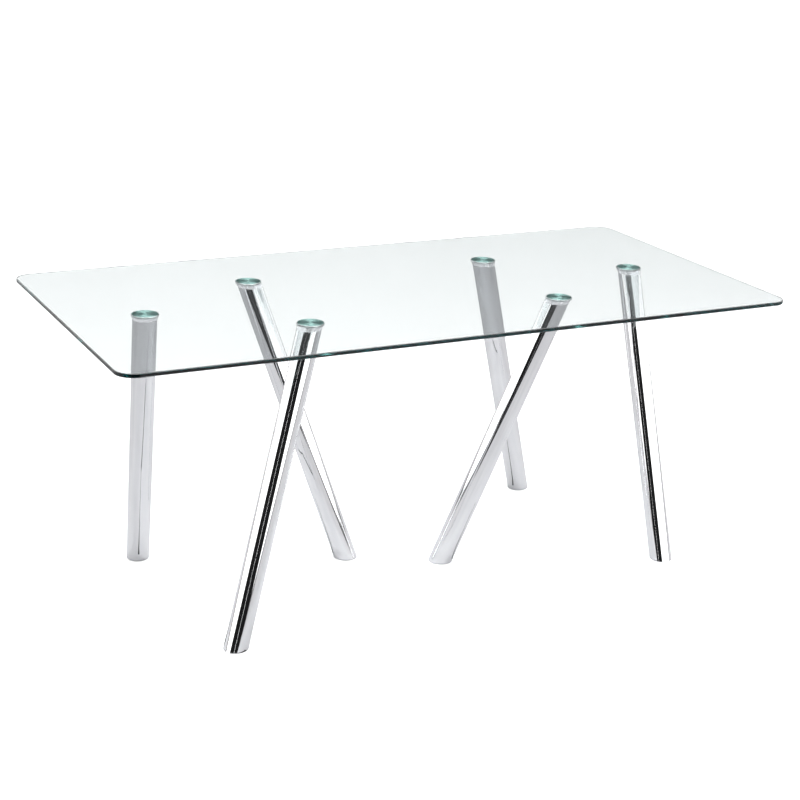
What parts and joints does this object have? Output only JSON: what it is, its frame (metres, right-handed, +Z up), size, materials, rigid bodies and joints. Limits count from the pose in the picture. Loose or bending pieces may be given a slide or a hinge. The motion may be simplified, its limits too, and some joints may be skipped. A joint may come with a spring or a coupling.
{
  "type": "glass dining table",
  "caption": "Fixed glass dining table: a clear rectangular pane with rounded corners on leaning chromed tube legs, set in two twisted tripods under turned metal discs.",
  "frame": {"origin": "on the floor under the middle of the glass pane, which is the middle of the bounding box's base", "axes": "+X along the table's length, +Z up, +Y from the long side with the left_front and right_front discs towards the other long side"},
  "size_m": [1.8, 0.884, 0.76],
  "materials": {
    "clear_glass": "clear toughened float glass, green at the edges, polished",
    "clear_bond": "clear cured adhesive film",
    "turned_steel": "lathe-turned stainless steel, fine rings",
    "chromed_steel": "bright chrome plate",
    "plain_steel": "machined steel, welded in",
    "plated_steel": "bright zinc plate",
    "grey_plastic": "moulded polyamide, matt"
  },
  "bodies": {
    "table": {"bond_films": "clear_bond", "foot_nuts": "plated_steel", "foot_plug_left_front": "plain_steel", "foot_plug_left_outer": "plain_steel", "foot_plug_left_rear": "plain_steel", "foot_plug_right_front": "plain_steel", "foot_plug_right_outer": "plain_steel", "foot_plug_right_rear": "plain_steel", "glass_top": "clear_glass", "leg_neck_left_front": "chromed_steel", "leg_neck_left_outer": "chromed_steel", "leg_neck_left_rear": "chromed_steel", "leg_neck_right_front": "chromed_steel", "leg_neck_right_outer": "chromed_steel", "leg_neck_right_rear": "chromed_steel", "leg_studs": "plated_steel", "leg_tube_left_front": "chromed_steel", "leg_tube_left_outer": "chromed_steel", "leg_tube_left_rear": "chromed_steel", "leg_tube_right_front": "chromed_steel", "leg_tube_right_outer": "chromed_steel", "leg_tube_right_rear": "chromed_steel", "lock_washers": "plated_steel", "mounting_disc_left_front": "turned_steel", "mounting_disc_left_outer": "turned_steel", "mounting_disc_left_rear": "turned_steel", "mounting_disc_right_front": "turned_steel", "mounting_disc_right_outer": "turned_steel", "mounting_disc_right_rear": "turned_steel", "top_plug_left_front": "plain_steel", "top_plug_left_outer": "plain_steel", "top_plug_left_rear": "plain_steel", "top_plug_right_front": "plain_steel", "top_plug_right_outer": "plain_steel", "top_plug_right_rear": "plain_steel"},
    "glide_left_outer": {"glide_stem_left_outer": "plated_steel", "glide_sole_left_outer": "grey_plastic"},
    "glide_left_rear": {"glide_stem_left_rear": "plated_steel", "glide_sole_left_rear": "grey_plastic"},
    "glide_left_front": {"glide_stem_left_front": "plated_steel", "glide_sole_left_front": "grey_plastic"},
    "glide_right_rear": {"glide_stem_right_rear": "plated_steel", "glide_sole_right_rear": "grey_plastic"},
    "glide_right_front": {"glide_stem_right_front": "plated_steel", "glide_sole_right_front": "grey_plastic"},
    "glide_right_outer": {"glide_stem_right_outer": "plated_steel", "glide_sole_right_outer": "grey_plastic"}
  },
  "joints": [
    {"name": "left_outer_levelling", "type": "slide", "parent": "table", "child": "glide_left_outer", "axis": [0, 0, -1], "range_m": [0, 0.008]},
    {"name": "left_rear_levelling", "type": "slide", "parent": "table", "child": "glide_left_rear", "axis": [0, 0, -1], "range_m": [0, 0.008]},
    {"name": "left_front_levelling", "type": "slide", "parent": "table", "child": "glide_left_front", "axis": [0, 0, -1], "range_m": [0, 0.008]},
    {"name": "right_rear_levelling", "type": "slide", "parent": "table", "child": "glide_right_rear", "axis": [0, 0, -1], "range_m": [0, 0.008]},
    {"name": "right_front_levelling", "type": "slide", "parent": "table", "child": "glide_right_front", "axis": [0, 0, -1], "range_m": [0, 0.008]},
    {"name": "right_outer_levelling", "type": "slide", "parent": "table", "child": "glide_right_outer", "axis": [0, 0, -1], "range_m": [0, 0.008]}
  ]
}
